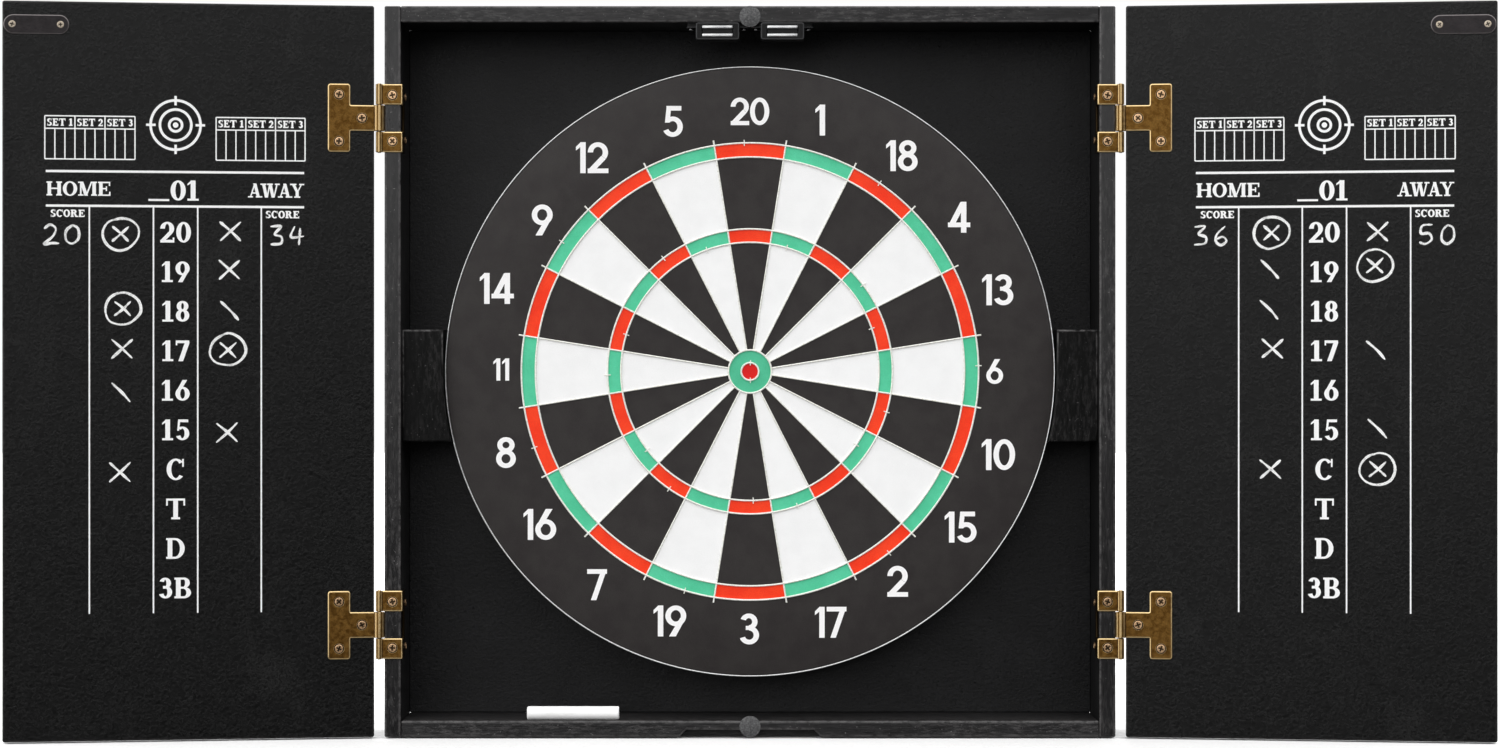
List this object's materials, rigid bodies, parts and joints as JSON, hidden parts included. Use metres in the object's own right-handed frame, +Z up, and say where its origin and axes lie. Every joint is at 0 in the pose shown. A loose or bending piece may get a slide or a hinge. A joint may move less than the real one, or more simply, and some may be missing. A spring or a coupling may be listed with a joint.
{
  "type": "dartboard cabinet",
  "caption": "Shallow square wall cabinet holding a round bristle dartboard behind a pair of hinged scoreboard doors with magnetic catches.",
  "frame": {"origin": "middle of the cabinet's back face, where it lies against the wall", "axes": "+Z up, +Y into the wall, -Y is the front that players see, +X to the right as seen from the front"},
  "size_m": [1.0912, 0.109, 0.54],
  "materials": {
    "painted_wood": "satin black paint over wood grain",
    "back_board": "matte black paint on fibreboard",
    "score_board": "matte chalkboard paint on fibreboard with a printed white scoreboard",
    "antique_brass": "antique brass plate with brighter worn edges",
    "screw_brass": "satin plated screw heads",
    "strike_steel": "dark plated steel",
    "bright_steel": "bright zinc plate",
    "band_steel": "rolled steel band, bright rim",
    "wire": "galvanised round wire",
    "magnet": "ferrite magnet",
    "black_plastic": "moulded black plastic",
    "bumper_rubber": "soft grey bumper",
    "sisal": "compressed sisal fibre dyed black, white, red and green",
    "backing_board": "raw fibreboard",
    "chalk": "pressed white chalk"
  },
  "bodies": {
    "cabinet": {"side_panel_left": "painted_wood", "side_panel_right": "painted_wood", "top_panel": "painted_wood", "bottom_panel": "painted_wood", "back_panel": "back_board", "board_cradle_left": "painted_wood", "board_cradle_right": "painted_wood", "catch_housing_left": "black_plastic", "catch_magnet_left": "magnet", "catch_pole_upper_left": "bright_steel", "catch_pole_lower_left": "bright_steel", "catch_housing_right": "black_plastic", "catch_magnet_right": "magnet", "catch_pole_upper_right": "bright_steel", "catch_pole_lower_right": "bright_steel", "bumper_top": "bumper_rubber", "bumper_bottom": "bumper_rubber", "board_bracket": "bright_steel", "hinge_frame_leaf_left_upper": "antique_brass", "hinge_pin_left_upper": "antique_brass", "frame_screw_left_upper_1": "screw_brass", "frame_screw_left_upper_2": "screw_brass", "hinge_frame_leaf_left_lower": "antique_brass", "hinge_pin_left_lower": "antique_brass", "frame_screw_left_lower_1": "screw_brass", "frame_screw_left_lower_2": "screw_brass", "hinge_frame_leaf_right_upper": "antique_brass", "hinge_pin_right_upper": "antique_brass", "frame_screw_right_upper_1": "screw_brass", "frame_screw_right_upper_2": "screw_brass", "hinge_frame_leaf_right_lower": "antique_brass", "hinge_pin_right_lower": "antique_brass", "frame_screw_right_lower_1": "screw_brass", "frame_screw_right_lower_2": "screw_brass"},
    "board": {"board_sisal": "sisal", "board_backing": "backing_board", "board_band": "band_steel", "board_spider": "wire", "board_screw": "bright_steel"},
    "chalk": {"chalk_stick": "chalk"},
    "left_door": {"door_panel_left": "score_board", "hinge_door_leaf_left_upper": "antique_brass", "door_screw_left_upper_1": "screw_brass", "door_screw_left_upper_2": "screw_brass", "door_screw_left_upper_3": "screw_brass", "hinge_door_leaf_left_lower": "antique_brass", "door_screw_left_lower_1": "screw_brass", "door_screw_left_lower_2": "screw_brass", "door_screw_left_lower_3": "screw_brass", "strike_plate_left": "strike_steel"},
    "right_door": {"door_panel_right": "score_board", "hinge_door_leaf_right_upper": "antique_brass", "door_screw_right_upper_1": "screw_brass", "door_screw_right_upper_2": "screw_brass", "door_screw_right_upper_3": "screw_brass", "hinge_door_leaf_right_lower": "antique_brass", "door_screw_right_lower_1": "screw_brass", "door_screw_right_lower_2": "screw_brass", "door_screw_right_lower_3": "screw_brass", "strike_plate_right": "strike_steel"}
  },
  "joints": [
    {"name": "left_door_hinge", "type": "hinge", "parent": "cabinet", "child": "left_door", "pos_m": [-0.2737, -0.071, 0], "axis": [0, 0, 1], "range_deg": [-18, 172]},
    {"name": "right_door_hinge", "type": "hinge", "parent": "cabinet", "child": "right_door", "pos_m": [0.2737, -0.071, 0], "axis": [0, 0, -1], "range_deg": [-18, 172]},
    {"name": "board_lift", "type": "slide", "parent": "cabinet", "child": "board", "axis": [0, 0, 1], "range_m": [0, 0.014]},
    {"name": "chalk_lift", "type": "slide", "parent": "cabinet", "child": "chalk", "axis": [0, 0, 1], "range_m": [0, 0.04]}
  ]
}
